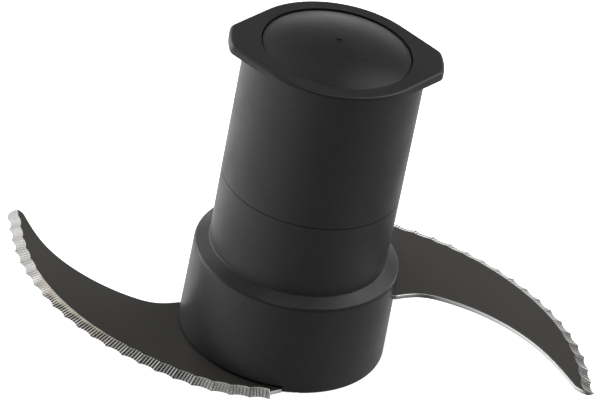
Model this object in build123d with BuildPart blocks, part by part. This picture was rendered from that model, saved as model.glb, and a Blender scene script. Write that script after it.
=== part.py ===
from build123d import *
import os
from math import acos, cos, degrees, radians, sin

# Serrated two-blade cutter of a food processor: a moulded hub that drops over the machine's
# drive shaft, two stamped sickle blades clamped on either side of a spacer, and a twist-off cap.
# Frame: millimetres, +Z up the shaft axis, origin on the axis at the hub's bottom face,
# and the cap's two finger ears almost along X.

os.makedirs("parts", exist_ok=True)

# ---------------------------------------------------------------- driving dimensions
FIT = 0.05                  # gap between pieces of one body
SLIP = 0.3                  # gap between bodies that turn or slide

# hub
SKIRT_R_BOTTOM = 30.1
SKIRT_R_TOP = 29.6
SKIRT_BORE_R = 26.8
SKIRT_EDGE_ROUND = 0.4
SHOULDER_Z = 28.2           # outer edge of the sloping shoulder
SHOULDER_ROUND = 1.2
NECK_Z = 30.5               # where the shoulder meets the tube
NECK_ROUND = 0.5
TUBE_R = 25.5
TUBE_BORE_R = 20.5
PARTING_Z = 53.0            # the hub's tube ends and the cap begins
SPIGOT_R = 22.9
SPIGOT_TOP_Z = 66.0
CEILING_T = 4.0             # plate above the upper blade
CORE_R = 14.0
CORE_BORE_R = 11.0
CORE_TOP_Z = 62.0

# blades, both drawn with the tip towards -X; the upper one is turned half a turn
BLADE_T = 1.25
UPPER_BLADE_TOP_Z = 22.6
UPPER_BLADE_Z = UPPER_BLADE_TOP_Z - BLADE_T
CEILING_Z = UPPER_BLADE_TOP_Z + FIT
CEILING_TOP_Z = CEILING_Z + CEILING_T
LOWER_SHARP = [(-82.6, 37.6), (-80.6, 26.5), (-74.8, 9.8), (-57.4, -13.7),
               (-34.7, -28.9), (-16.5, -34.7), (-2.9, -34.3)]
LOWER_TIP = [(-82.3, 40.2), (-80.5, 41.5)]
LOWER_BACK = [(-78, 40), (-70.6, 25.2), (-57, 11.6), (-44.5, 5), (-37, 3.5), (-30, 5.5)]
UPPER_SHARP = [(-85.15, 40.2), (-84, 25.5), (-76.3, 4), (-62, -14),
               (-43, -26.9), (-26, -32.6), (-3, -35.5)]
UPPER_TIP = [(-84, 41.1), (-81.8, 40.9)]
UPPER_BACK = [(-79.6, 39.3), (-71.7, 25.1), (-57.6, 11.6), (-44.6, 5.8), (-37.5, 4.8), (-29.5, 7.7)]
LOWER_PLAN = (LOWER_SHARP, LOWER_TIP, LOWER_BACK)
UPPER_PLAN = (UPPER_SHARP, UPPER_TIP, UPPER_BACK)
HEEL = [(-2.7, -32.1), (0.2, -30.4)]    # steps in beside the hub, where the grinding ends
EDGE_LAND = 0.15            # blunt land left under the ground bevel
BEVEL_W = 2.9
SCALLOP_PITCH = 5.7
SCALLOP_DEPTH = 0.8
SCALLOP_R = SCALLOP_PITCH ** 2 / (8 * SCALLOP_DEPTH) + SCALLOP_DEPTH / 2
ROOT_ANGLE = 219.8          # the lower blade's arm leaves the hub in this direction
ROOT_HALF_W = 20.3
ROOT_END = 9.5              # how far the fork's prongs pass the shaft axis
ARM_JOIN = 14.0             # where the arm's flanks meet the fork
PASSAGE_TURN = 0.25         # degrees of side play cut to each side of a blade in the hub
FORK_SLOT_R = CORE_R + 0.24
RELIEF = 0.75               # gap between the lower blade and the hub above it

# blade fasteners
SCREW_PCR = 17.3
SCREW_ANGLES = (75, 105, 255, 285)      # from the root direction
SCREW_SHANK_R = 1.48
SCREW_HOLE_R = 1.7
SCREW_END_Z = 1.0
SCREW_HEAD_R = 2.7
SCREW_HEAD_H = 3.0
HEX_KEY_R = 1.4
HEX_KEY_DEPTH = 1.6
WASHER_R = 3.0
WASHER_T = 0.5
NUT_SHANK_R = 2.05
NUT_R = 2.8
NUT_TOP_Z = 5.0
NUT_BORE_R = 1.53
PIN_R = 1.5
PIN_Z = 0.1
PIN_TOP_Z = 25.5

# shaft line
SHAFT_BORE_R = 8.0
BUSHING_H = 20.5
BUSHING_FLAT_R = 10.5       # hexagon, centre to flat
CROSS_SLOT_W = 4.2          # slot for the drive shaft's cross pin
CROSS_SLOT_H = 5.0
LINER_BORE_R = 8.4
LINER_Z = 21.0
LINER_TOP_Z = 56.0
SEAL_Z = 57.7
SEAL_TOP_Z = 61.5
SEAL_LIP_R = 8.3
SEAL_BACK_R = 9.4
SEAL_ROOT_H = 1.2           # the lip leaves its sleeve this far above the seal's foot
SEAL_LIP_DROP = 1.2         # and its tip ends this far below the seal's top
SEAL_LIP_W = 0.6
CLIP_T = 1.0
CLIP_LAND = 1.4             # how far a clip stands in from its bore
CLIP_GROOVE = 0.9
CLIP_GAP_DEG = 30.0

# bayonet between hub and cap
LUG_ANGLES = (90, 210, 330)
LUG_HALF_DEG = 6.0
LUG_Z = 56.0
LUG_TOP_Z = 58.5
LUG_R = 21.9
TURN_DEG = 30.0
TRACK_R = LUG_R - SLIP
TRACK_HALF_DEG = LUG_HALF_DEG + 1.5
TRACK_GAP_Z = 0.4

# cap sleeve
SLEEVE_Z = PARTING_Z + 0.2
SLEEVE_BORE_R = SPIGOT_R + SLIP
SLEEVE_TOP_R = 25.3
LEDGE_Z = 89.0
LEDGE_TOP_Z = 92.0
CAP_TOP_Z = 96.0
FLANGE_Z = 94.8             # underside of the flange's round lip
FLANGE_R = 25.7
FLANGE_ROUND = 1.1
EAR_Z = 93.35               # the ears are thicker than the lip
EAR_R = 30.0
EAR_ROOT_R = 25.25          # below the lip the ears grow out of the sleeve's wall
EAR_HALF_DEG = 11.0
EAR_CORNER = 4.0
EAR_UNDER_ROUND = 0.3
EAR_TURN_DEG = 2.0          # the ears of the seated cap stand this far past X
DOME_SEAT_R = 21.1

# dome and its stem
DOME_R = DOME_SEAT_R - SLIP
DOME_Z = 92.6
DOME_RIM_Z = 95.6
DOME_RIM_ROUND = 0.2
DOME_TOP_Z = 99.1
GATE_R = 0.9
GATE_Z = 98.8               # the gate's stub starts inside the dome
GATE_TOP_Z = 99.4
STEM_R = 16.8
STEM_Z = 46.0
STEM_SOCKET_R = CORE_R + SLIP
STEM_SOCKET_TOP_Z = 63.0
STEM_BORE_TOP_Z = 88.0
BUSH_Z = 66.2
BUSH_TOP_Z = 80.0
BUSH_BORE_R = 8.1
RIB_W = 3.0
RIB_R = 15.2
RIB_Z = 32.0
RIB_TOP_Z = 53.0
RIB_END_GAP = 0.4
KEEPER_R = 18.6
KEEPER_Z = 87.6
SPRING_WASHER_R = 20.2
SPRING_WASHER_T = 0.5

# round seals, each in a rectangular groove
O_RING_R = 0.55             # section
GROOVE_DEPTH = 1.0
GROOVE_H = 1.2
SPIGOT_SEAL_Z = 54.4
CORE_SEAL_Z = 60.0
SPACER_SEAL_Z = 8.0
SPACER_R = 26.6
DOME_SEAL_Z = 93.9


# ---------------------------------------------------------------- shared shapes
def polar(radius, angle):
    """Point at a radius and an angle in degrees."""
    return (radius * cos(radians(angle)), radius * sin(radians(angle)))


def in_root_frame(x, y):
    """Point given along and across the lower blade's root direction."""
    turned = Vector(x, y).rotate(Axis.Z, ROOT_ANGLE)
    return (turned.X, turned.Y)


def screw_points():
    """The screws stand on one circle, in the prongs that both forks share."""
    return [polar(SCREW_PCR, ROOT_ANGLE + angle) for angle in SCREW_ANGLES]


def pin_points():
    """One dowel pin in the web of each blade's fork: the lower one's, then the upper one's."""
    return [polar(SCREW_PCR, ROOT_ANGLE), polar(SCREW_PCR, ROOT_ANGLE + 180)]


def ring_face(r_in, r_out):
    with BuildSketch() as ring:
        Circle(r_out)
        Circle(r_in, mode=Mode.SUBTRACT)
    return ring.sketch


def sector_face(r_in, r_out, start, size):
    """Part of a ring, from the start angle over the given size in degrees."""
    with BuildSketch() as sector:
        with BuildLine():
            CenterArc((0, 0), r_out, start, size)
            Line(polar(r_out, start + size), polar(r_in, start + size))
            CenterArc((0, 0), r_in, start, size)
            Line(polar(r_in, start), polar(r_out, start))
        make_face()
    return sector.sketch


def o_ring(groove_r, z):
    """A round seal lying on the bottom of an outward-facing groove."""
    with BuildPart() as ring:
        with Locations((0, 0, z)):
            Torus(groove_r + FIT + O_RING_R, O_RING_R)
    return ring.part


def clip_ring(r_in, r_out, z, gap_angle):
    """An open retaining ring."""
    with BuildPart() as ring:
        with BuildSketch(Plane.XY.offset(z)):
            add(sector_face(r_in, r_out, gap_angle + CLIP_GAP_DEG / 2, 360 - CLIP_GAP_DEG))
        extrude(amount=CLIP_T)
    return ring.part


def blade_blank(plan):
    """Plan of a blade: a sickle arm on a fork that slides over the hub's core."""
    sharp, tip, back = plan
    fork_centre = in_root_frame((ARM_JOIN - ROOT_END) / 2, 0)
    slot_centre = in_root_frame(-ROOT_END, 0)
    turned = (0, 0, ROOT_ANGLE)
    with BuildSketch() as blank:
        with BuildLine():
            Spline(*sharp)
            Polyline(sharp[-1], *HEEL, in_root_frame(ARM_JOIN, ROOT_HALF_W),
                     in_root_frame(ARM_JOIN, -ROOT_HALF_W), back[-1])
            Spline(*reversed(back))
            Spline(back[0], *reversed(tip), sharp[0])
        make_face()
        with Locations(Location((*fork_centre, 0), turned)):
            Rectangle(ARM_JOIN + ROOT_END, 2 * ROOT_HALF_W)
        with Locations(Location((*slot_centre, 0), turned)):
            Rectangle(2 * ROOT_END, 2 * FORK_SLOT_R, mode=Mode.SUBTRACT)
        Circle(FORK_SLOT_R, mode=Mode.SUBTRACT)
    return blank.sketch


def blade_passage(plan):
    """Plan of the opening that a blade passes through, a little wider to both sides."""
    with BuildSketch() as passage:
        for turn in (-PASSAGE_TURN, 0, PASSAGE_TURN):
            add(blade_blank(plan).rotate(Axis.Z, turn))
    return passage.sketch


def scallop_centres(sharp):
    """Centres of the round grinding cuts, one for each pitch of the sharp edge."""
    with BuildLine() as line:
        Spline(*sharp)
    edge = line.edges()[0]
    count = round(edge.length / SCALLOP_PITCH)
    centres = []
    for i in range(count):
        t = (i + 0.5) / count
        outward = (edge % t).rotate(Axis.Z, -90)
        centre = edge @ t + outward * (SCALLOP_R - SCALLOP_DEPTH)
        centres.append((centre.X, centre.Y))
    return centres


def blade(plan):
    """One ground blade, lying on the base plane."""
    cuts = scallop_centres(plan[0])
    with BuildPart() as ground:
        with BuildSketch():
            add(blade_blank(plan))
            with Locations(*cuts):
                Circle(SCALLOP_R, mode=Mode.SUBTRACT)
        extrude(amount=BLADE_T)
        with Locations(*[(x, y, EDGE_LAND) for x, y in cuts]):
            Cone(SCALLOP_R, SCALLOP_R + BEVEL_W, BLADE_T - EDGE_LAND,
                 align=(Align.CENTER, Align.CENTER, Align.MIN), mode=Mode.SUBTRACT)
    return ground.part


def ear_plan(root_r):
    """The two ears, whose straight flanks leave the round of the given radius on a tangent."""
    corner = polar(EAR_R, EAR_HALF_DEG)
    flank_end = polar(root_r, EAR_HALF_DEG + degrees(acos(root_r / EAR_R)))
    with BuildSketch() as plan:
        with BuildLine():
            right = Polyline((0, 0), flank_end, corner)
            CenterArc((0, 0), EAR_R, EAR_HALF_DEG, -2 * EAR_HALF_DEG)
            mirror(right, about=Plane.XZ)
        make_face()
        fillet(plan.vertices().sort_by(Axis.X)[-2:], EAR_CORNER)
        mirror(about=Plane.YZ)
        Circle(STEM_R)
    return plan.sketch.rotate(Axis.Z, EAR_TURN_DEG)


def flange():
    """Round lip with rounded upper edge, and the ears, which reach further down."""
    with BuildPart() as plate:
        with BuildSketch(Plane.XY.offset(FLANGE_Z)):
            Circle(FLANGE_R)
            add(ear_plan(FLANGE_R))
        extrude(amount=CAP_TOP_Z - FLANGE_Z)
        fillet(edges().group_by(Axis.Z)[-1], FLANGE_ROUND)
        with BuildSketch(Plane.XY.offset(EAR_Z)):
            add(ear_plan(EAR_ROOT_R))
        extrude(amount=FLANGE_Z - EAR_Z)
        fillet(edges().group_by(Axis.Z)[0], EAR_UNDER_ROUND)
    return plate.part


# ---------------------------------------------------------------- blades
with BuildPart() as lower_blade:
    add(blade(LOWER_PLAN))
    with BuildSketch():
        with Locations(*screw_points()):
            Circle(NUT_SHANK_R + FIT)
        with Locations(pin_points()[0]):
            Circle(PIN_R + FIT)
    extrude(amount=BLADE_T, mode=Mode.SUBTRACT)

with BuildPart() as upper_blade:
    add(blade(UPPER_PLAN).rotate(Axis.Z, 180).moved(Location((0, 0, UPPER_BLADE_Z))))
    with BuildSketch(Plane.XY.offset(UPPER_BLADE_Z)):
        with Locations(*screw_points()):
            Circle(SCREW_HOLE_R)
        with Locations(pin_points()[1]):
            Circle(PIN_R + FIT)
    extrude(amount=BLADE_T, mode=Mode.SUBTRACT)

# ---------------------------------------------------------------- hub
with BuildPart() as hub_body:
    with BuildSketch(Plane.XZ):
        with BuildLine():
            Polyline((SKIRT_BORE_R, 0), (SKIRT_R_BOTTOM, 0), (SKIRT_R_TOP, SHOULDER_Z),
                     (TUBE_R, NECK_Z), (TUBE_R, PARTING_Z), (SPIGOT_R, PARTING_Z),
                     (SPIGOT_R, SPIGOT_TOP_Z), (TUBE_BORE_R, SPIGOT_TOP_Z),
                     (TUBE_BORE_R, CEILING_TOP_Z), (CORE_R, CEILING_TOP_Z),
                     (CORE_R, CORE_TOP_Z), (CORE_BORE_R, CORE_TOP_Z), (CORE_BORE_R, 0),
                     (CORE_R, 0), (CORE_R, CEILING_Z), (SKIRT_BORE_R, CEILING_Z),
                     (SKIRT_BORE_R, 0))
        make_face()
        fillet(vertices().sort_by_distance((SKIRT_R_TOP, SHOULDER_Z))[0], SHOULDER_ROUND)
        fillet(vertices().sort_by_distance((TUBE_R, NECK_Z))[0], NECK_ROUND)
        fillet(vertices().sort_by_distance((SKIRT_R_BOTTOM, 0))[0], SKIRT_EDGE_ROUND)
    revolve(axis=Axis.Z)
    # ribs that keep the dome's stem from turning
    with BuildSketch(Plane.XY.offset(RIB_Z)):
        Rectangle(2 * RIB_R, RIB_W)
        Circle(CORE_R - FIT, mode=Mode.SUBTRACT)
    extrude(amount=RIB_TOP_Z - RIB_Z)
    # hexagon seat of the drive bushing
    with BuildSketch():
        RegularPolygon(BUSHING_FLAT_R + FIT, 6, major_radius=False)
    extrude(amount=BUSHING_H + FIT, mode=Mode.SUBTRACT)
    # slit of the upper blade and relief over the lower one
    with BuildSketch(Plane.XY.offset(UPPER_BLADE_Z - FIT)):
        add(blade_passage(UPPER_PLAN).rotate(Axis.Z, 180))
    extrude(amount=CEILING_Z - UPPER_BLADE_Z + FIT, mode=Mode.SUBTRACT)
    with BuildSketch():
        add(blade_passage(LOWER_PLAN))
    extrude(amount=BLADE_T + RELIEF, mode=Mode.SUBTRACT)
    # screw and pin holes in the ceiling
    with BuildSketch(Plane.XY.offset(CEILING_Z)):
        with Locations(*screw_points()):
            Circle(SCREW_HOLE_R)
    extrude(amount=CEILING_T, mode=Mode.SUBTRACT)
    with BuildSketch(Plane.XY.offset(CEILING_Z)):
        with Locations(*pin_points()):
            Circle(PIN_R + FIT)
    extrude(amount=PIN_TOP_Z + FIT - CEILING_Z, mode=Mode.SUBTRACT)
    # bayonet tracks: an upright entry and a level run for each lug
    for angle in LUG_ANGLES:
        with BuildSketch(Plane.XY.offset(LUG_Z - TRACK_GAP_Z)):
            add(sector_face(TRACK_R, TUBE_R, angle - TRACK_HALF_DEG, 2 * TRACK_HALF_DEG))
        extrude(amount=SPIGOT_TOP_Z - LUG_Z + TRACK_GAP_Z, mode=Mode.SUBTRACT)
        with BuildSketch(Plane.XY.offset(LUG_Z - TRACK_GAP_Z)):
            add(sector_face(TRACK_R, TUBE_R, angle - TRACK_HALF_DEG - TURN_DEG,
                            2 * TRACK_HALF_DEG + TURN_DEG))
        extrude(amount=LUG_TOP_Z - LUG_Z + 2 * TRACK_GAP_Z, mode=Mode.SUBTRACT)
    # grooves of the round seals and of the liner's clip
    with BuildSketch(Plane.XY.offset(SPIGOT_SEAL_Z - GROOVE_H / 2)):
        add(ring_face(SPIGOT_R - GROOVE_DEPTH, SPIGOT_R + FIT))
    extrude(amount=GROOVE_H, mode=Mode.SUBTRACT)
    with BuildSketch(Plane.XY.offset(CORE_SEAL_Z - GROOVE_H / 2)):
        add(ring_face(CORE_R - GROOVE_DEPTH, CORE_R + FIT))
    extrude(amount=GROOVE_H, mode=Mode.SUBTRACT)
    with BuildSketch(Plane.XY.offset(LINER_TOP_Z)):
        add(ring_face(CORE_BORE_R - FIT, CORE_BORE_R + CLIP_GROOVE))
    extrude(amount=CLIP_T + 2 * FIT, mode=Mode.SUBTRACT)

with BuildPart() as blade_spacer:
    with BuildSketch():
        add(ring_face(CORE_R + FIT, SPACER_R))
    extrude(amount=UPPER_BLADE_Z - FIT)
    with BuildSketch():
        add(blade_passage(LOWER_PLAN))
    extrude(amount=BLADE_T + FIT, mode=Mode.SUBTRACT)
    with BuildSketch():
        with Locations(*screw_points()):
            Circle(SCREW_HOLE_R)
        with Locations(*pin_points()):
            Circle(PIN_R + FIT)
    extrude(amount=UPPER_BLADE_Z, mode=Mode.SUBTRACT)
    with BuildSketch():
        with Locations(*screw_points()):
            Circle(NUT_R + FIT)
    extrude(amount=NUT_TOP_Z + FIT, mode=Mode.SUBTRACT)
    with BuildSketch(Plane.XY.offset(SPACER_SEAL_Z - GROOVE_H / 2)):
        add(ring_face(SPACER_R - GROOVE_DEPTH, SPACER_R + FIT))
    extrude(amount=GROOVE_H, mode=Mode.SUBTRACT)

# ---------------------------------------------------------------- blade fasteners
with BuildPart() as blade_screws:
    with BuildSketch(Plane.XY.offset(SCREW_END_Z)):
        with Locations(*screw_points()):
            Circle(SCREW_SHANK_R)
    extrude(amount=CEILING_TOP_Z + WASHER_T - SCREW_END_Z)
    with BuildSketch(Plane.XY.offset(CEILING_TOP_Z + WASHER_T)):
        with Locations(*screw_points()):
            Circle(SCREW_HEAD_R)
    extrude(amount=SCREW_HEAD_H)
    with BuildSketch(Plane.XY.offset(CEILING_TOP_Z + WASHER_T + SCREW_HEAD_H)):
        with Locations(*screw_points()):
            RegularPolygon(HEX_KEY_R, 6)
    extrude(amount=-HEX_KEY_DEPTH, mode=Mode.SUBTRACT)

with BuildPart() as screw_washers:
    with BuildSketch(Plane.XY.offset(CEILING_TOP_Z)):
        with Locations(*screw_points()):
            Circle(WASHER_R)
            Circle(SCREW_HOLE_R, mode=Mode.SUBTRACT)
    extrude(amount=WASHER_T)

with BuildPart() as clinch_nuts:
    with BuildSketch(Plane.XY.offset(FIT)):
        with Locations(*screw_points()):
            Circle(NUT_SHANK_R)
    extrude(amount=BLADE_T)
    with BuildSketch(Plane.XY.offset(BLADE_T + FIT)):
        with Locations(*screw_points()):
            Circle(NUT_R)
    extrude(amount=NUT_TOP_Z - BLADE_T - FIT)
    with BuildSketch():
        with Locations(*screw_points()):
            Circle(NUT_BORE_R)
    extrude(amount=NUT_TOP_Z, mode=Mode.SUBTRACT)

with BuildPart() as dowel_pins:
    with BuildSketch(Plane.XY.offset(PIN_Z)):
        with Locations(*pin_points()):
            Circle(PIN_R)
    extrude(amount=PIN_TOP_Z - PIN_Z)

# ---------------------------------------------------------------- shaft line
with BuildPart() as drive_bushing:
    with BuildSketch():
        RegularPolygon(BUSHING_FLAT_R, 6, major_radius=False)
        Circle(SHAFT_BORE_R, mode=Mode.SUBTRACT)
    extrude(amount=BUSHING_H)
    with BuildSketch():
        Rectangle(CROSS_SLOT_W, 4 * BUSHING_FLAT_R)
    extrude(amount=CROSS_SLOT_H, mode=Mode.SUBTRACT)

with BuildPart() as shaft_liner:
    with BuildSketch(Plane.XY.offset(LINER_Z)):
        add(ring_face(LINER_BORE_R, CORE_BORE_R - FIT))
    extrude(amount=LINER_TOP_Z - LINER_Z)

with BuildPart() as liner_clip:
    add(clip_ring(CORE_BORE_R - CLIP_LAND, CORE_BORE_R + CLIP_GROOVE - FIT,
                  LINER_TOP_Z + FIT, 0))

with BuildPart() as shaft_seal:
    with BuildSketch(Plane.XZ):
        with BuildLine():
            Polyline((CORE_BORE_R - FIT, SEAL_Z), (CORE_BORE_R - FIT, SEAL_TOP_Z),
                     (SEAL_BACK_R, SEAL_TOP_Z), (SEAL_LIP_R, SEAL_TOP_Z - SEAL_LIP_DROP),
                     (SEAL_LIP_R, SEAL_TOP_Z - SEAL_LIP_DROP - SEAL_LIP_W),
                     (SEAL_BACK_R, SEAL_Z + SEAL_ROOT_H), (SEAL_BACK_R, SEAL_Z),
                     (CORE_BORE_R - FIT, SEAL_Z))
        make_face()
    revolve(axis=Axis.Z)

# ---------------------------------------------------------------- round seals
with BuildPart() as spacer_seal:
    add(o_ring(SPACER_R - GROOVE_DEPTH, SPACER_SEAL_Z))

with BuildPart() as spigot_seal:
    add(o_ring(SPIGOT_R - GROOVE_DEPTH, SPIGOT_SEAL_Z))

with BuildPart() as core_seal:
    add(o_ring(CORE_R - GROOVE_DEPTH, CORE_SEAL_Z))

with BuildPart() as dome_seal:
    add(o_ring(DOME_R - GROOVE_DEPTH, DOME_SEAL_Z))

# ---------------------------------------------------------------- dome and what it carries
with BuildPart() as cap_dome:
    with BuildSketch(Plane.XZ):
        with BuildLine():
            Polyline((0, DOME_TOP_Z), (0, STEM_BORE_TOP_Z), (CORE_BORE_R, STEM_BORE_TOP_Z),
                     (CORE_BORE_R, STEM_SOCKET_TOP_Z), (STEM_SOCKET_R, STEM_SOCKET_TOP_Z),
                     (STEM_SOCKET_R, STEM_Z), (STEM_R, STEM_Z), (STEM_R, DOME_Z),
                     (DOME_R, DOME_Z), (DOME_R, DOME_RIM_Z))
            dome_rise = DOME_TOP_Z - DOME_RIM_Z
            dome_radius = (DOME_R ** 2 + dome_rise ** 2) / (2 * dome_rise)
            RadiusArc((DOME_R, DOME_RIM_Z), (0, DOME_TOP_Z), -dome_radius)
        make_face()
        fillet(vertices().sort_by_distance((DOME_R, DOME_RIM_Z))[0], DOME_RIM_ROUND)
    revolve(axis=Axis.Z)
    # moulding gate in the middle of the dome
    with BuildSketch(Plane.XY.offset(GATE_Z)):
        Circle(GATE_R)
    extrude(amount=GATE_TOP_Z - GATE_Z)
    # keyways for the hub's ribs
    with BuildSketch(Plane.XY.offset(STEM_Z)):
        Rectangle(2 * (RIB_R + SLIP), RIB_W + 2 * SLIP)
    extrude(amount=RIB_TOP_Z + RIB_END_GAP - STEM_Z, mode=Mode.SUBTRACT)
    # grooves of the dome's seal, the keeper and the bush's clip
    with BuildSketch(Plane.XY.offset(DOME_SEAL_Z - GROOVE_H / 2)):
        add(ring_face(DOME_R - GROOVE_DEPTH, DOME_R + FIT))
    extrude(amount=GROOVE_H, mode=Mode.SUBTRACT)
    with BuildSketch(Plane.XY.offset(KEEPER_Z - FIT)):
        add(ring_face(STEM_R - GROOVE_DEPTH - FIT, STEM_R + FIT))
    extrude(amount=CLIP_T + 2 * FIT, mode=Mode.SUBTRACT)
    with BuildSketch(Plane.XY.offset(BUSH_Z - CLIP_T - 2 * FIT)):
        add(ring_face(CORE_BORE_R - FIT, CORE_BORE_R + CLIP_GROOVE))
    extrude(amount=CLIP_T + 2 * FIT, mode=Mode.SUBTRACT)

with BuildPart() as top_bush:
    with BuildSketch(Plane.XY.offset(BUSH_Z)):
        add(ring_face(BUSH_BORE_R, CORE_BORE_R - FIT))
    extrude(amount=BUSH_TOP_Z - BUSH_Z)

with BuildPart() as bush_clip:
    add(clip_ring(CORE_BORE_R - CLIP_LAND, CORE_BORE_R + CLIP_GROOVE - FIT,
                  BUSH_Z - CLIP_T - FIT, 90))

with BuildPart() as sleeve_keeper:
    add(clip_ring(STEM_R - GROOVE_DEPTH, KEEPER_R, KEEPER_Z, 0))

with BuildPart() as spring_washer:
    with BuildSketch(Plane.XY.offset(DOME_Z - FIT)):
        add(ring_face(STEM_R + FIT, SPRING_WASHER_R))
    extrude(amount=-SPRING_WASHER_T)

# ---------------------------------------------------------------- cap sleeve
with BuildPart() as cap_sleeve:
    add(flange())
    with BuildSketch(Plane.XZ):
        with BuildLine():
            Polyline((0, SLEEVE_Z), (TUBE_R, SLEEVE_Z), (SLEEVE_TOP_R, FLANGE_Z),
                     (0, FLANGE_Z), (0, SLEEVE_Z))
        make_face()
    revolve(axis=Axis.Z)
    # dome seat, ledge hole and bore
    with BuildSketch(Plane.XY.offset(LEDGE_TOP_Z)):
        Circle(DOME_SEAT_R)
    extrude(amount=CAP_TOP_Z - LEDGE_TOP_Z, mode=Mode.SUBTRACT)
    with BuildSketch(Plane.XY.offset(SLEEVE_Z)):
        Circle(STEM_R + SLIP)
    extrude(amount=LEDGE_TOP_Z - SLEEVE_Z, mode=Mode.SUBTRACT)
    with BuildSketch(Plane.XY.offset(SLEEVE_Z)):
        Circle(SLEEVE_BORE_R)
    extrude(amount=LEDGE_Z - SLEEVE_Z, mode=Mode.SUBTRACT)
    # bayonet lugs
    for angle in LUG_ANGLES:
        with BuildSketch(Plane.XY.offset(LUG_Z)):
            add(sector_face(LUG_R, SLEEVE_BORE_R + FIT, angle - LUG_HALF_DEG,
                            2 * LUG_HALF_DEG))
        extrude(amount=LUG_TOP_Z - LUG_Z)

# ---------------------------------------------------------------- one file for each piece
PIECES = {
    "hub_body": hub_body,
    "blade_spacer": blade_spacer,
    "lower_blade": lower_blade,
    "upper_blade": upper_blade,
    "blade_screws": blade_screws,
    "screw_washers": screw_washers,
    "clinch_nuts": clinch_nuts,
    "dowel_pins": dowel_pins,
    "drive_bushing": drive_bushing,
    "shaft_liner": shaft_liner,
    "liner_clip": liner_clip,
    "shaft_seal": shaft_seal,
    "spacer_seal": spacer_seal,
    "spigot_seal": spigot_seal,
    "core_seal": core_seal,
    "cap_dome": cap_dome,
    "dome_seal": dome_seal,
    "top_bush": top_bush,
    "bush_clip": bush_clip,
    "sleeve_keeper": sleeve_keeper,
    "spring_washer": spring_washer,
    "cap_sleeve": cap_sleeve,
}
for name, piece in PIECES.items():
    piece.part.label = name
    export_step(piece.part, f"parts/{name}.step")
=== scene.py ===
import bpy
import bmesh
import numpy as np
from math import sin, cos, pi, radians, sqrt
from mathutils import Matrix, Vector


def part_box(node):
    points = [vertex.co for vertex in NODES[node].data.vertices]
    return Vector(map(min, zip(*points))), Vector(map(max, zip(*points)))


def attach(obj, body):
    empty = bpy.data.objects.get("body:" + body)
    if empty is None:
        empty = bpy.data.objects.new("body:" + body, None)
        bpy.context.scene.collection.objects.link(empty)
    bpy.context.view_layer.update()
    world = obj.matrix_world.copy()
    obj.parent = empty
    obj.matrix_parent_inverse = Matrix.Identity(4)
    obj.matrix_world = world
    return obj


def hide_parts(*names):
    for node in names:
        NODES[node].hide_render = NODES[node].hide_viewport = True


# Serrated two-blade cutter of a food processor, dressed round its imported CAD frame.
# Lengths are in metres unless a name ends in _MM; outlines are drawn in millimetres.

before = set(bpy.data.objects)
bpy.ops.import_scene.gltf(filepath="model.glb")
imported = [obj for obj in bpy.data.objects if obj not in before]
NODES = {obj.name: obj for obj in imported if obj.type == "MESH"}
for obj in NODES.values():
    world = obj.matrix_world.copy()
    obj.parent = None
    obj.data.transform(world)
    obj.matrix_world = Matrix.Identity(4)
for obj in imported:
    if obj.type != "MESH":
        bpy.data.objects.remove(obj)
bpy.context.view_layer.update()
MM = 0.001


# ---------------------------------------------------------------- camera
CAMERA_AZIMUTH = 6.0
CAMERA_ELEVATION = 32.84
CAMERA_DISTANCE = 0.955         # from the axis at the height the camera circles
CAMERA_PIVOT = Vector((0, 0, 0.040))
CAMERA_AIM = Vector((-0.00194, 0.0002, 0.04516))
CAMERA_ROLL = 11.27             # the picture is taken with the camera tipped sideways
CAMERA_LENS = 202.5


def make_camera():
    azimuth, elevation = radians(-CAMERA_AZIMUTH), radians(CAMERA_ELEVATION)
    back = Vector((sin(azimuth) * cos(elevation), -cos(azimuth) * cos(elevation), sin(elevation)))
    place = CAMERA_PIVOT + back * CAMERA_DISTANCE
    forward = (CAMERA_AIM - place).normalized()
    level_right = forward.cross(Vector((0, 0, 1))).normalized()
    level_up = level_right.cross(forward)
    roll = radians(CAMERA_ROLL)
    right = level_right * cos(roll) + level_up * sin(roll)
    up = level_up * cos(roll) - level_right * sin(roll)
    camera = bpy.data.objects.new("camera", bpy.data.cameras.new("camera"))
    bpy.context.scene.collection.objects.link(camera)
    turn = Matrix((right, up, -forward)).transposed().to_4x4()
    camera.matrix_world = Matrix.Translation(place) @ turn
    camera.data.lens = CAMERA_LENS
    camera.data.sensor_width = 36.0
    bpy.context.scene.camera = camera


# ---------------------------------------------------------------- light and floor
FLOOR_GLOW = 0.9               # lights up the shadow, as a light table does
FLOOR_HALF = 4.0
FLOOR_DROP = 0.0002            # keeps the floor just clear of the hub's bottom face
# name, place, aim, size and power in watts
LIGHTS = [
    ("top_light", (0.85, 0.35, 1.15), (0, 0, 0.04), (1.0, 1.0), 11),
    ("zenith_light", (-0.1, -0.3, 1.35), (0, 0, 0.03), (0.75, 0.75), 3.0),
    ("strip_light", (-0.59, 0.94, 1.05), (0, 0, 0.03), (0.6, 1.4), 1.4),
    ("left_light", (-1.2, 0.7, 0.5), (0, 0, 0.05), (0.9, 0.9), 14),
    ("right_light", (1.3, 0.8, 0.4), (0, 0, 0.05), (0.5, 0.9), 4)]


def area_light(name, place, aim, size, power):
    data = bpy.data.lights.new(name, "AREA")
    data.shape = "RECTANGLE"
    data.size, data.size_y = size
    data.energy = power
    light = bpy.data.objects.new(name, data)
    bpy.context.scene.collection.objects.link(light)
    light.location = place
    light.rotation_euler = (Vector(aim) - Vector(place)).to_track_quat("-Z", "Y").to_euler()


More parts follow.
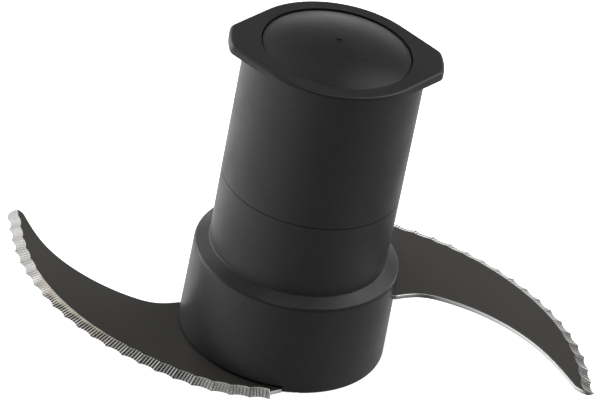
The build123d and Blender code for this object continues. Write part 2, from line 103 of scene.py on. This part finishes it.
# The light tent round the object: its brightness by the sine of the elevation, and two
# brighter sides, each a direction with its reach and strength.
TENT = [(-1.0, 0.3), (-0.5, 0.9), (-0.3, 1.0), (-0.06, 0.9), (0.12, 0.7), (0.3, 0.12),
        (0.6, 0.09), (1.0, 0.09)]
TENT_BASE = 0.1
TENT_SIDES = [((-0.85, 0.5, 0.0), 0.42, 1.36), ((0.95, 0.3, 0.0), 0.0, 0.65)]


def make_tent():
    """A procedural surround, brighter low down and to the sides, dark above and in front."""
    world = bpy.data.worlds.new("studio")
    world.use_nodes = True
    tree = world.node_tree
    direction = tree.nodes.new("ShaderNodeTexCoord").outputs["Generated"]

    def maths(operation, first, second, third=0.5):
        """A math node; only MULTIPLY_ADD reads its third value."""
        node = tree.nodes.new("ShaderNodeMath")
        node.operation = operation
        for socket, value in zip(node.inputs, (first, second, third)):
            if isinstance(value, bpy.types.NodeSocket):
                tree.links.new(value, socket)
            else:
                socket.default_value = value
        return node.outputs[0]

    split = tree.nodes.new("ShaderNodeSeparateXYZ")
    tree.links.new(direction, split.inputs[0])
    ramp = tree.nodes.new("ShaderNodeValToRGB")
    tree.links.new(maths("MULTIPLY_ADD", split.outputs["Z"], 0.5), ramp.inputs[0])
    stops = ramp.color_ramp.elements
    while len(stops) < len(TENT):
        stops.new(0.5)
    for stop, (height, light) in zip(stops, TENT):
        stop.position = (height + 1) / 2
        stop.color = (light, light, light, 1)
    total = TENT_BASE
    for side, reach, strength in TENT_SIDES:
        facing = tree.nodes.new("ShaderNodeVectorMath")
        facing.operation = "DOT_PRODUCT"
        tree.links.new(direction, facing.inputs[0])
        facing.inputs[1].default_value = side
        lit = maths("MAXIMUM", maths("ADD", facing.outputs["Value"], reach), 0.0)
        total = maths("ADD", maths("MULTIPLY", lit, strength), total)
    background = tree.nodes["Background"]
    tree.links.new(ramp.outputs[0], background.inputs["Color"])
    tree.links.new(total, background.inputs["Strength"])
    return world


def make_studio():
    scene = bpy.context.scene
    scene.view_settings.view_transform = "Standard"
    scene.world = make_tent()
    for light in LIGHTS:
        area_light(*light)
    half = FLOOR_HALF
    mesh = bpy.data.meshes.new("floor")
    mesh.from_pydata([(-half, -half, 0), (half, -half, 0), (half, half, 0), (-half, half, 0)],
                     [], [(0, 1, 2, 3)])
    floor = bpy.data.objects.new("floor", mesh)
    floor.location.z = -FLOOR_DROP
    scene.collection.objects.link(floor)
    material = bpy.data.materials.new("pale_floor")
    material.use_nodes = True
    shader = material.node_tree.nodes["Principled BSDF"]
    shader.inputs["Base Color"].default_value = (0.92, 0.92, 0.92, 1)
    shader.inputs["Roughness"].default_value = 0.9
    shader.inputs["Emission Color"].default_value = (1, 1, 1, 1)
    shader.inputs["Emission Strength"].default_value = FLOOR_GLOW
    mesh.materials.append(material)
    floor.visible_glossy = False


# ---------------------------------------------------------------- materials
class Nodes:
    """A small helper that adds and links shader nodes."""

    def __init__(self, name):
        self.material = bpy.data.materials.new(name)
        self.material.use_nodes = True
        self.tree = self.material.node_tree
        self.shader = self.tree.nodes["Principled BSDF"]
        self.position = self.add("ShaderNodeTexCoord").outputs["Object"]

    def add(self, kind, inputs=None, **settings):
        node = self.tree.nodes.new(kind)
        for key, value in settings.items():
            setattr(node, key, value)
        for key, value in (inputs or {}).items():
            if isinstance(value, bpy.types.NodeSocket):
                self.tree.links.new(value, node.inputs[key])
            else:
                node.inputs[key].default_value = value
        return node

    def noise(self, scale, detail=2.0, roughness=0.5, vector=None):
        node = self.add("ShaderNodeTexNoise", {
            "Vector": vector or self.position, "Scale": scale, "Detail": detail,
            "Roughness": roughness})
        return node.outputs["Fac"]

    def stretched(self, scale):
        return self.add("ShaderNodeMapping", {"Vector": self.position, "Scale": scale}).outputs[0]

    def remap(self, value, low, high, to_low, to_high):
        node = self.add("ShaderNodeMapRange", {
            "Value": value, "From Min": low, "From Max": high, "To Min": to_low, "To Max": to_high})
        return node.outputs[0]

    def mix(self, factor, first, second):
        node = self.add("ShaderNodeMix", data_type="RGBA")
        for index, value in ((0, factor), (6, first), (7, second)):
            if isinstance(value, bpy.types.NodeSocket):
                self.tree.links.new(value, node.inputs[index])
            else:
                node.inputs[index].default_value = value
        return node.outputs[2]

    def bump(self, height, strength, distance, normal=None):
        inputs = {"Height": height, "Strength": strength, "Distance": distance}
        if normal is not None:
            inputs["Normal"] = normal
        return self.add("ShaderNodeBump", inputs).outputs[0]

    def set(self, **values):
        for key, value in values.items():
            socket = self.shader.inputs[key.replace("_", " ")]
            if isinstance(value, bpy.types.NodeSocket):
                self.tree.links.new(value, socket)
            else:
                socket.default_value = value
        return self.material


def moulded_plastic(name, tone, roughness, grain):
    """Black plastic with the fine grain of a spark-eroded mould."""
    n = Nodes(name)
    speckle = n.noise(2600, 3.0, 0.6)
    mottle = n.noise(90, 3.0, 0.55)
    colour = n.mix(n.remap(speckle, 0.35, 0.75, 0, 1), (tone, tone, tone, 1),
                   (tone * 1.9, tone * 1.9, tone * 1.95, 1))
    gloss = n.remap(mottle, 0.3, 0.7, roughness - 0.05, roughness + 0.06)
    normal = n.bump(speckle, grain, 0.00006)
    normal = n.bump(mottle, 0.06, 0.0002, normal)
    return n.set(Base_Color=colour, Roughness=gloss, Normal=normal, IOR=1.38)


def plate_steel(name):
    """Rolled stainless plate in satin, its dark colour a painted reflection of the dark surroundings
    above its top.
    """
    n = Nodes(name)
    grain = n.noise(1800, 3.0, 0.6)
    cloud = n.noise(25, 3.0, 0.5)
    # painted reflection: the dark colour stands in for the dark surroundings the plate's top
    # reflects
    colour = n.mix(n.remap(cloud, 0.3, 0.7, 0, 1), (0.062, 0.059, 0.055, 1),
                   (0.068, 0.065, 0.061, 1))
    gloss = n.remap(cloud, 0.3, 0.7, 0.4, 0.44)
    normal = n.bump(grain, 0.08, 0.00004)
    return n.set(Base_Color=colour, Metallic=0.3, Roughness=gloss, Normal=normal)


def ground_steel(name):
    """Bright steel as the grinding wheel leaves it; a mesh attribute gives its tone and the painted
    shade in the wheel marks.
    """
    n = Nodes(name)
    steel_tone_and_groove_shade = n.add("ShaderNodeAttribute", attribute_name="steel_tone_and_groove_shade").outputs["Color"]
    grit = n.noise(4500, 2.0, 0.6)
    colour = n.mix(n.remap(grit, 0.35, 0.65, 0.0, 0.2), steel_tone_and_groove_shade, (0.3, 0.295, 0.28, 1))
    return n.set(Base_Color=colour, Metallic=1.0, Roughness=0.26)


def plain_metal(name, tone, roughness):
    """Turned or pressed steel of the inner hardware."""
    n = Nodes(name)
    turned = n.noise(1400, 2.0, 0.5, n.stretched((1.0, 1.0, 6.0)))
    colour = n.mix(turned, (tone * 0.85, tone * 0.85, tone * 0.87, 1), (tone, tone, tone, 1))
    normal = n.bump(turned, 0.1, 0.00005)
    return n.set(Base_Color=colour, Metallic=1.0, Roughness=roughness, Normal=normal)


def soft_part(name, colour, roughness, scale):
    """Rubber or acetal: an even colour with a faint mottle."""
    n = Nodes(name)
    mottle = n.noise(scale, 3.0, 0.6)
    dark = tuple(c * 0.85 for c in colour) + (1,)
    shade = n.mix(mottle, dark, tuple(colour) + (1,))
    return n.set(Base_Color=shade, Roughness=roughness, Normal=n.bump(mottle, 0.1, 0.00005))


# ---------------------------------------------------------------- shared shapes
def spline(points, count):
    """Natural cubic spline through a few points, as evenly spaced points along it."""
    p = np.array(points, float)
    knots = np.concatenate(([0], np.cumsum(np.hypot(*np.diff(p, axis=0).T))))
    step = np.diff(knots)
    size = len(p)
    system = np.eye(size)
    right = np.zeros((size, 2))
    for i in range(1, size - 1):
        system[i, i - 1:i + 2] = step[i - 1], 2 * (step[i - 1] + step[i]), step[i]
        right[i] = 6 * ((p[i + 1] - p[i]) / step[i] - (p[i] - p[i - 1]) / step[i - 1])
    bend = np.linalg.solve(system, right)

    def at(t):
        i = np.clip(np.searchsorted(knots, t, side="right") - 1, 0, size - 2)
        h, a, b = step[i][:, None], (knots[i + 1] - t)[:, None], (t - knots[i])[:, None]
        return ((bend[i] * a ** 3 + bend[i + 1] * b ** 3) / (6 * h)
                + (p[i] / h - bend[i] * h / 6) * a + (p[i + 1] / h - bend[i + 1] * h / 6) * b)

    fine = at(np.linspace(0, knots[-1], 4000))
    length = np.concatenate(([0], np.cumsum(np.hypot(*np.diff(fine, axis=0).T))))
    even = np.linspace(0, length[-1], count)
    return np.column_stack([np.interp(even, length, fine[:, k]) for k in (0, 1)]), length[-1]


def link_mesh(name, bm, materials, sharp_degrees):
    """Finishes a bmesh as a smooth-shaded object with its sharp edges kept."""
    bmesh.ops.recalc_face_normals(bm, faces=bm.faces)
    mesh = bpy.data.meshes.new(name)
    bm.to_mesh(mesh)
    bm.free()
    for material in materials:
        mesh.materials.append(material)
    mesh.shade_smooth()
    mesh.set_sharp_from_angle(angle=radians(sharp_degrees))
    piece = bpy.data.objects.new(name, mesh)
    bpy.context.scene.collection.objects.link(piece)
    return piece


# ---------------------------------------------------------------- blades
# The plans of the two blades in millimetres, as the CAD draws them: sharp edge from the tip
# to the hub, two points on the rounded tip, and the back edge from the tip to the hub.
LOWER_PLAN_MM = ([(-82.6, 37.6), (-80.6, 26.5), (-74.8, 9.8), (-57.4, -13.7),
                  (-34.7, -28.9), (-16.5, -34.7), (-2.9, -34.3)],
                 [(-82.3, 40.2), (-80.5, 41.5)],
                 [(-78, 40), (-70.6, 25.2), (-57, 11.6), (-44.5, 5), (-37, 3.5), (-30, 5.5)])
UPPER_PLAN_MM = ([(-85.15, 40.2), (-84, 25.5), (-76.3, 4), (-62, -14),
                  (-43, -26.9), (-26, -32.6), (-3, -35.5)],
                 [(-84, 41.1), (-81.8, 40.9)],
                 [(-79.6, 39.3), (-71.7, 25.1), (-57.6, 11.6), (-44.6, 5.8), (-37.5, 4.8),
                  (-29.5, 7.7)])
HEEL_MM = [(-2.7, -32.1), (0.2, -30.4)]
BLADE_T_MM = 1.25
EDGE_LAND_MM = 0.15
BEVEL_W_MM = 2.9
SCALLOP_PITCH_MM = 5.7
SCALLOP_DEPTH_MM = 0.8
SCALLOP_R_MM = SCALLOP_PITCH_MM ** 2 / (8 * SCALLOP_DEPTH_MM) + SCALLOP_DEPTH_MM / 2
ROOT_ANGLE = 219.8
ROOT_HALF_W_MM = 20.3
ROOT_END_MM = 9.5
ARM_JOIN_MM = 14.0
FORK_SLOT_R_MM = 14.24

GROOVE_PITCH_MM = 0.98
TIP_PITCH_MM = 1.5              # at the tip the marks are wider apart
TIP_PITCH_END = 0.28            # and close up to the usual distance over this share of the edge
GROOVE_DEPTH_MM = 0.035
FAINT_MARK_SHADE = 0.22              # how strongly the painted shade in the grooves shows where the marks are faint
BRIGHT_STEEL = np.array([0.86, 0.85, 0.83])
WARM_STEEL = np.array([0.82, 0.77, 0.66])
# painted shade laid in the wheel marks' grooves, standing in for the shading they get
GROOVE_SHADE_STEEL = np.array([0.035, 0.033, 0.03])
SHEARED_STEEL = np.array([0.62, 0.62, 0.61])
STRAIGHT_BEVEL_MM = 3.35        # where its inner border is ground straight
GROOVE_LEAN = 0.1               # how far the marks lean along the edge, per width of bevel
# Lengths along the edge in millimetres, from the tip. "marks": where the wheel marks, shallow
# grooves with painted shade in them, begin in the outer part of the bevel, and where they cover all
# of it. "warm" and "dull": how much of the warm tint and of the duller tip the blade shows.
LOWER_FINISH = {"marks": (40.0, 72.0), "warm": 1, "dull": 0}
UPPER_FINISH = {"marks": (-16.0, 8.0), "warm": 0, "dull": 1}
GROOVES_START_REACH = 0.45
REACH_SOFTNESS = 8              # how sharply marks end across the bevel
STRAIGHT_FROM_MM, STRAIGHT_TO_MM, STRAIGHT_BLEND_MM = 22, 78, 12
FAINT_FROM_MM, FAINT_BLEND_MM = 8, 10
WARM_FROM_MM, WARM_TO_MM, WARM_BLEND_MM = 25, 75, 15
DULL_TO_MM, DULL_BLEND_MM = 50, 30
DULLING = 0.45                  # taken off both the steel's brightness and the marks' painted shade
HEEL_FROM, HEEL_BLEND = 0.76, 0.12  # shares of the edge; from there on the marks' painted shade is thinner
# the depth in a groove at which its painted shade is half reached, what the heel adds, and the blend
GROOVE_SHADE_FROM, HEEL_SHADE_FROM, GROOVE_SHADE_BLEND = 0.35, 0.4, 0.5
HEEL_FADE = 0.4                 # taken off the marks' painted shade at the heel
COLUMNS_PER_SCALLOP = 84
BEVEL_ROWS = 10
END_COLUMNS = 12
RIM_ROUND_MM = 0.2
RIM_ROUND_STEPS = 4
# the rim's height levels, as shares of the plate, each with its tone: bright where the press
# tool burnished it, then a darker line where the sheet broke
RIM_LEVELS = [(0, 1.0), (0.3, 1.0), (0.42, 0.65), (0.5, 0.65), (0.62, 1.25)]
RIM_TOP_TONE = 1.25
SHARP_DEGREES = 50              # groove flanks shade smoothly, cusps and plate edges stay sharp
BACK_COLUMNS = 120
TIP_COLUMNS = 60
MERGE_DISTANCE = 1e-7
DEGENERATE_LENGTH = 1e-8


def root_point(along, across):
    turn = radians(ROOT_ANGLE)
    return (along * cos(turn) - across * sin(turn), along * sin(turn) + across * cos(turn))


def fork_outline():
    """From the heel into the hub, round the fork's prongs and slot, and out to the back edge."""
    slot_turn = np.linspace(pi / 2, -pi / 2, 33)
    slot = [root_point(FORK_SLOT_R_MM * cos(t), FORK_SLOT_R_MM * sin(t)) for t in slot_turn]
    return np.array([
        *HEEL_MM, root_point(ARM_JOIN_MM, ROOT_HALF_W_MM),
        root_point(-ROOT_END_MM, ROOT_HALF_W_MM),
        root_point(-ROOT_END_MM, FORK_SLOT_R_MM), *slot,
        root_point(-ROOT_END_MM, -FORK_SLOT_R_MM), root_point(-ROOT_END_MM, -ROOT_HALF_W_MM),
        root_point(ARM_JOIN_MM, -ROOT_HALF_W_MM)])


def smooth_step(x):
    x = np.clip(x, 0, 1)
    return x * x * (3 - 2 * x)


def scalloped_bevel(sharp, look):
    """Rows of points over the ground bevel, their colours with painted shade in the grooves, and the
    inward way at the tip.
    """
    scallops = round(spline(sharp, 2)[1] / SCALLOP_PITCH_MM)
    edge, length = spline(sharp, scallops * COLUMNS_PER_SCALLOP + 1)
    pitch = length / scallops
    along = np.linspace(0, length, len(edge))
    tangent = np.gradient(edge, axis=0)
    tangent /= np.linalg.norm(tangent, axis=1)[:, None]
    inward = np.column_stack([-tangent[:, 1], tangent[:, 0]])
    offset = ((along / pitch) % 1.0 - 0.5) * pitch
    offset[-1] = pitch / 2
    centre_out = SCALLOP_R_MM - SCALLOP_DEPTH_MM
    outer = np.sqrt(SCALLOP_R_MM ** 2 - offset ** 2) - centre_out
    inner = np.sqrt((SCALLOP_R_MM + BEVEL_W_MM) ** 2 - offset ** 2) - centre_out
    straight = smooth_step((along - STRAIGHT_FROM_MM) / STRAIGHT_BLEND_MM)
    straight *= smooth_step((STRAIGHT_TO_MM - along) / STRAIGHT_BLEND_MM)
    inner += (STRAIGHT_BEVEL_MM - inner) * straight
    # wheel marks, shallow grooves with painted shade in them: faint near the tip, then in the outer
    # part, then over the whole bevel
    begin, covered = look["marks"]
    progress = (along - begin) / (covered - begin)
    strength = smooth_step(4 * progress + 0.5)
    marked = GROOVES_START_REACH + (1 - GROOVES_START_REACH) * np.clip(progress, 0, 1)
    heel_share = smooth_step((along / length - HEEL_FROM) / HEEL_BLEND)
    distance = np.interp(along / length, (0, TIP_PITCH_END), (TIP_PITCH_MM, GROOVE_PITCH_MM))
    turns = np.cumsum(1 / distance)
    turns *= length / (len(edge) - 1)
    faint = FAINT_MARK_SHADE * smooth_step((along - FAINT_FROM_MM) / FAINT_BLEND_MM)
    warm = smooth_step((along - WARM_FROM_MM) / WARM_BLEND_MM)
    warm *= smooth_step((WARM_TO_MM - along) / WARM_BLEND_MM) * look["warm"]
    dull = smooth_step((DULL_TO_MM - along) / DULL_BLEND_MM) * look["dull"]
    contrast = (1 - HEEL_FADE * heel_share) * (1 - DULLING * dull)
    lean = GROOVE_LEAN * BEVEL_W_MM / GROOVE_PITCH_MM
    rows, colours = [], []
    for row in range(BEVEL_ROWS + 1):
        k = row / BEVEL_ROWS
        plan = edge + inward * (outer + (inner - outer) * k)[:, None]
        height = EDGE_LAND_MM + (BLADE_T_MM - EDGE_LAND_MM) * k
        valley = 0.5 - 0.5 * np.cos(2 * pi * (turns - lean * k))
        cover = strength * smooth_step((marked - k) * REACH_SOFTNESS + 0.5)
        cut = GROOVE_DEPTH_MM * valley * cover * smooth_step((1 - k) * REACH_SOFTNESS)
        rows.append(np.column_stack([plan, height - cut]))
        # painted shade in the groove valleys, standing in for how the grooves are shaded; less of it
        # at the heel and the dull tip
        dark = smooth_step((valley - GROOVE_SHADE_FROM - HEEL_SHADE_FROM * heel_share) / GROOVE_SHADE_BLEND + 0.5)
        dark = (dark * (faint + (1 - faint) * cover) * contrast)[:, None]
        unshaded_steel = BRIGHT_STEEL + (WARM_STEEL - BRIGHT_STEEL) * (warm * smooth_step(2 * k))[:, None]
        unshaded_steel = unshaded_steel * (1 - DULLING * dull)[:, None]
        colours.append(unshaded_steel + (GROOVE_SHADE_STEEL - unshaded_steel) * dark)
    return np.array(rows), np.array(colours), inward[0]


def bevel_runout(outline, corner, inward, width):
    """Columns where the last cut runs on over the plate's corner until it leaves the top.

    Returns them from the corner outwards, with the outline's points that are left.
    """
    reach = (outline - corner) @ inward / width
    last = int(np.argmax(reach >= 1))
    share = (1 - reach[last - 1]) / (reach[last] - reach[last - 1])
    end = outline[last - 1] + (outline[last] - outline[last - 1]) * share
    run = np.vstack([outline[:last], end])
    length = np.concatenate(([0], np.cumsum(np.hypot(*np.diff(run, axis=0).T))))
    even = np.linspace(0, length[-1], END_COLUMNS + 1)[1:]
    run = np.column_stack([np.interp(even, length, run[:, i]) for i in (0, 1)])
    left = np.clip(1 - (run - corner) @ inward / width, 0, 1)
    left[-1] = 0
    rows = []
    for row in range(BEVEL_ROWS + 1):
        k = row / BEVEL_ROWS
        plan = run + inward * (width * left * k)[:, None]
        risen = 1 - left + left * k
        rows.append(np.column_stack([plan, EDGE_LAND_MM + (BLADE_T_MM - EDGE_LAND_MM) * risen]))
    return np.array(rows), outline[last:]


def build_blade(name, plan, look, materials):
    """One blade lying on the base plane, with its bevel ground scallop by scallop."""
    sharp, tip, back_points = plan
    grid, colours, tip_inward = scalloped_bevel(sharp, look)
    back = spline(list(reversed(back_points)), BACK_COLUMNS)[0]
    fork = fork_outline()
    tip_width = np.linalg.norm(grid[-1, 0, :2] - grid[0, 0, :2])
    tip_curve = spline([sharp[0], *tip, back[-1]], TIP_COLUMNS)[0]
    tip_grid, tip_rest = bevel_runout(tip_curve, np.array(sharp[0]), tip_inward, tip_width)
    grid = np.concatenate([tip_grid[:, ::-1], grid], axis=1)
    colours = np.concatenate([np.repeat(colours[:, :1], END_COLUMNS, axis=1), colours], axis=1)
    rim = np.vstack([fork, back, tip_rest[::-1]])
    rounding = np.concatenate([np.zeros(len(fork)), np.full(len(back), RIM_ROUND_MM),
                               RIM_ROUND_MM * np.linspace(1, 0, len(tip_rest))])
    closed = np.vstack([grid[0, -1, :2], rim, grid[0, 0, :2]])
    run = closed[2:] - closed[:-2]
    run /= np.linalg.norm(run, axis=1)[:, None]
    inward = np.column_stack([-run[:, 1], run[:, 0]])
    bm = bmesh.new()
    # a colour attribute with the steel's tone and the painted shade in the grooves
    steel_tone_and_groove_shade = bm.verts.layers.float_color.new("steel_tone_and_groove_shade")

    def point(x, y, z, colour):
        vertex = bm.verts.new((x * MM, y * MM, z * MM))
        vertex[steel_tone_and_groove_shade] = (*colour, 1)
        return vertex

    def ring(points, heights, colour):
        levels = np.broadcast_to(heights, len(points))
        return [point(x, y, z, colour) for (x, y), z in zip(points, levels)]

    bevel = [[point(*p, c) for p, c in zip(*row)] for row in zip(grid, colours)]
    foot = ring(grid[0, :, :2], 0, SHEARED_STEEL)
    sides = [ring(rim, level * BLADE_T_MM, SHEARED_STEEL * tone) for level, tone in RIM_LEVELS]
    for turn in np.linspace(0, pi / 2, RIM_ROUND_STEPS + 1):
        inset = rim + inward * (rounding * (1 - cos(turn)))[:, None]
        height = BLADE_T_MM - rounding * (1 - sin(turn))
        sides.append(ring(inset, height, SHEARED_STEEL * RIM_TOP_TONE))
    for lower, upper in [*zip([foot] + bevel[:-1], bevel), *zip(sides[:-1], sides[1:])]:
        for i in range(len(lower) - 1):
            face = bm.faces.new((lower[i], lower[i + 1], upper[i + 1], upper[i]))
            face.material_index = 1
    # the two places where the bevel's ends meet the rim
    for column, step in ((-1, 0), (0, -1)):
        loop = [foot[column], *[side[step] for side in sides], *[row[column] for row in bevel[::-1]]]
        face = bm.faces.new(loop)
        face.material_index = 1
    bm.faces.new(foot + sides[0])
    bm.faces.new(list(reversed(bevel[-1] + sides[-1])))
    bmesh.ops.remove_doubles(bm, verts=bm.verts, dist=MERGE_DISTANCE)
    bmesh.ops.dissolve_degenerate(bm, edges=bm.edges, dist=DEGENERATE_LENGTH)
    piece = link_mesh(name, bm, materials, SHARP_DEGREES)
    for face in piece.data.polygons:
        face.use_smooth = face.material_index == 1
    return piece


def make_blades(plate, ground):
    lower = build_blade("ground_lower_blade", LOWER_PLAN_MM, LOWER_FINISH, [plate, ground])
    upper = build_blade("ground_upper_blade", UPPER_PLAN_MM, UPPER_FINISH, [plate, ground])
    upper.data.transform(Matrix.Translation((0, 0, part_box("upper_blade")[0].z))
                         @ Matrix.Rotation(pi, 4, "Z"))
    for piece, node in ((lower, "lower_blade"), (upper, "upper_blade")):
        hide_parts(node)
        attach(piece, "hub")


# ---------------------------------------------------------------- carried-over CAD pieces
def dress(material, *names):
    for name in names:
        slots = NODES[name].data.materials
        slots.clear()
        slots.append(material)


make_camera()
make_studio()

black = moulded_plastic("hub_plastic", 0.012, 0.42, 0.3)
satin = moulded_plastic("dome_plastic", 0.012, 0.36, 0.25)
hardware = plain_metal("fastener_steel", 0.62, 0.3)
dress(black, "hub_body", "blade_spacer", "cap_sleeve")
dress(satin, "cap_dome")
dress(plain_metal("bushing_steel", 0.55, 0.25), "drive_bushing")
dress(hardware, "blade_screws", "screw_washers", "clinch_nuts", "dowel_pins", "liner_clip",
      "bush_clip", "sleeve_keeper", "spring_washer")
dress(soft_part("acetal", (0.8, 0.79, 0.74), 0.4, 300), "shaft_liner", "top_bush")
dress(soft_part("seal_rubber", (0.02, 0.02, 0.02), 0.6, 900), "shaft_seal", "spacer_seal",
      "spigot_seal", "core_seal", "dome_seal")
make_blades(plate_steel("plate_steel"), ground_steel("ground_steel"))
